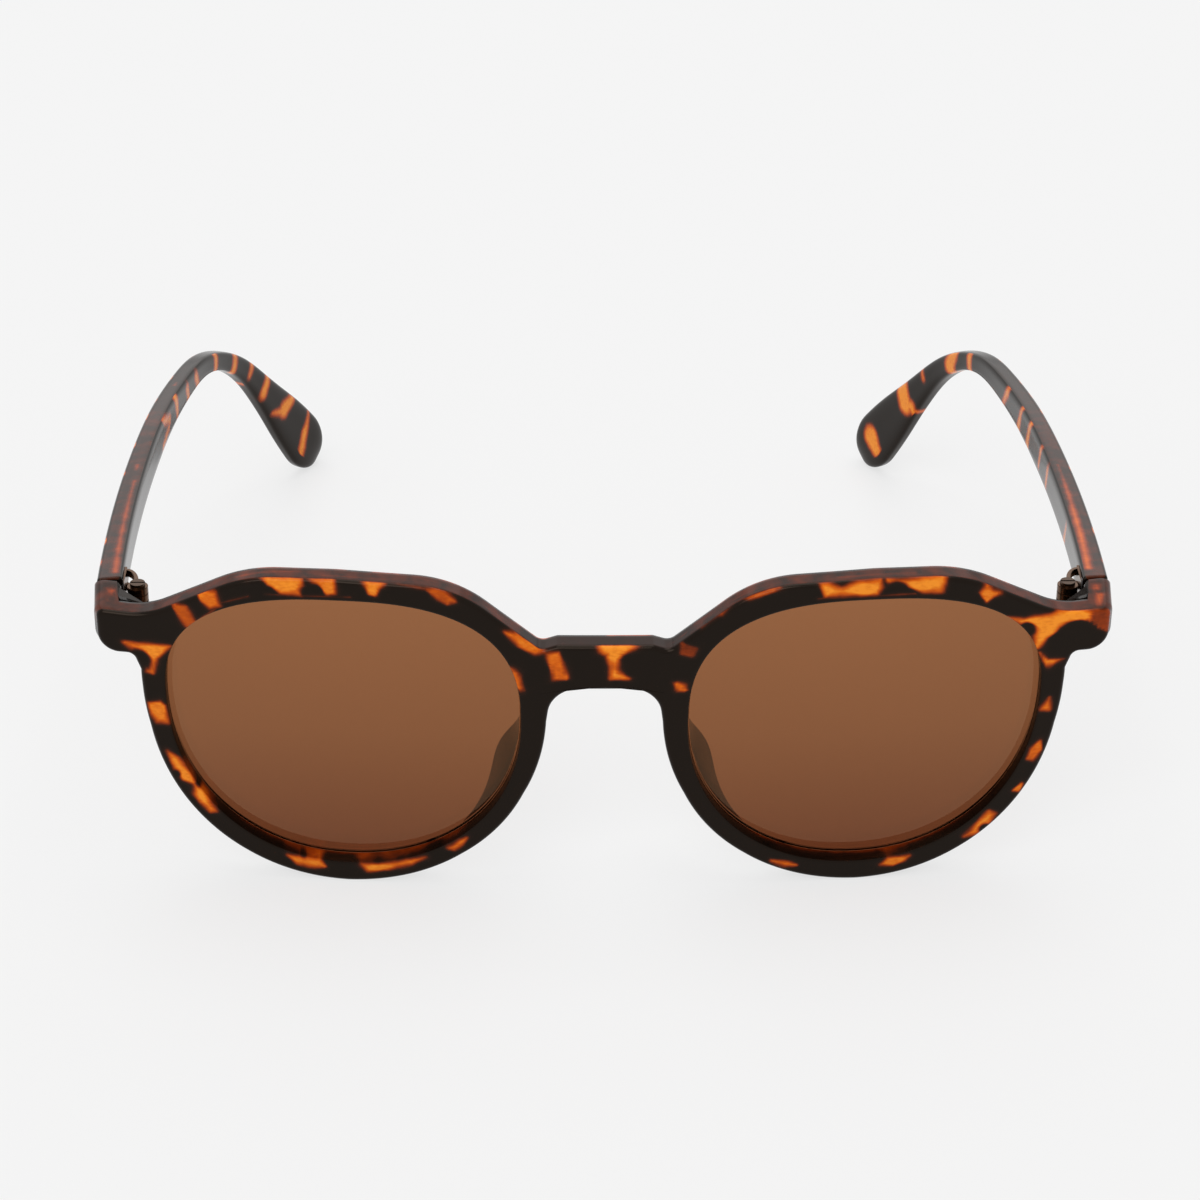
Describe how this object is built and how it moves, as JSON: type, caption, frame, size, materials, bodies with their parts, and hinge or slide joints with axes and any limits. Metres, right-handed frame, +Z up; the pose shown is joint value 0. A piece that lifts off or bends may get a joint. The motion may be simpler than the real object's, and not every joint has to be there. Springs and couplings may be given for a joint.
{
  "type": "panto sunglasses",
  "caption": "Panto sunglasses in glossy dark tortoiseshell plastic with brown tinted lenses, moulded nose pads and temples that fold on small metal barrel hinges.",
  "frame": {"origin": "centre of the bounding box's base, on the surface that the rims and the temple tips stand on", "axes": "+X to the right when facing the lenses from the front, +Y from the lenses back along the temples, +Z up"},
  "size_m": [0.1484, 0.1466, 0.053],
  "materials": {
    "tortoise": "injection-moulded and tumbled to a gloss, dark brown with amber tortoiseshell patches",
    "tinted_lens": "brown tinted, polished, clear to look through",
    "hinge_metal": "gunmetal plated",
    "screw_metal": "gunmetal plated"
  },
  "bodies": {
    "front": {"front_frame": "tortoise", "lens_left": "tinted_lens", "lens_right": "tinted_lens", "hinge_front_left": "hinge_metal", "hinge_front_right": "hinge_metal"},
    "temple_left": {"temple_left": "tortoise", "hinge_temple_left": "hinge_metal", "hinge_screw_left": "screw_metal"},
    "temple_right": {"temple_right": "tortoise", "hinge_temple_right": "hinge_metal", "hinge_screw_right": "screw_metal"}
  },
  "joints": [
    {"name": "temple_right_fold", "type": "hinge", "parent": "front", "child": "temple_right", "pos_m": [0.06758, -0.05926, 0.0433], "axis": [0, 0, 1], "range_deg": [0, 84]},
    {"name": "temple_left_fold", "type": "hinge", "parent": "front", "child": "temple_left", "pos_m": [-0.06758, -0.05926, 0.0433], "axis": [0, 0, -1], "range_deg": [0, 76]}
  ]
}
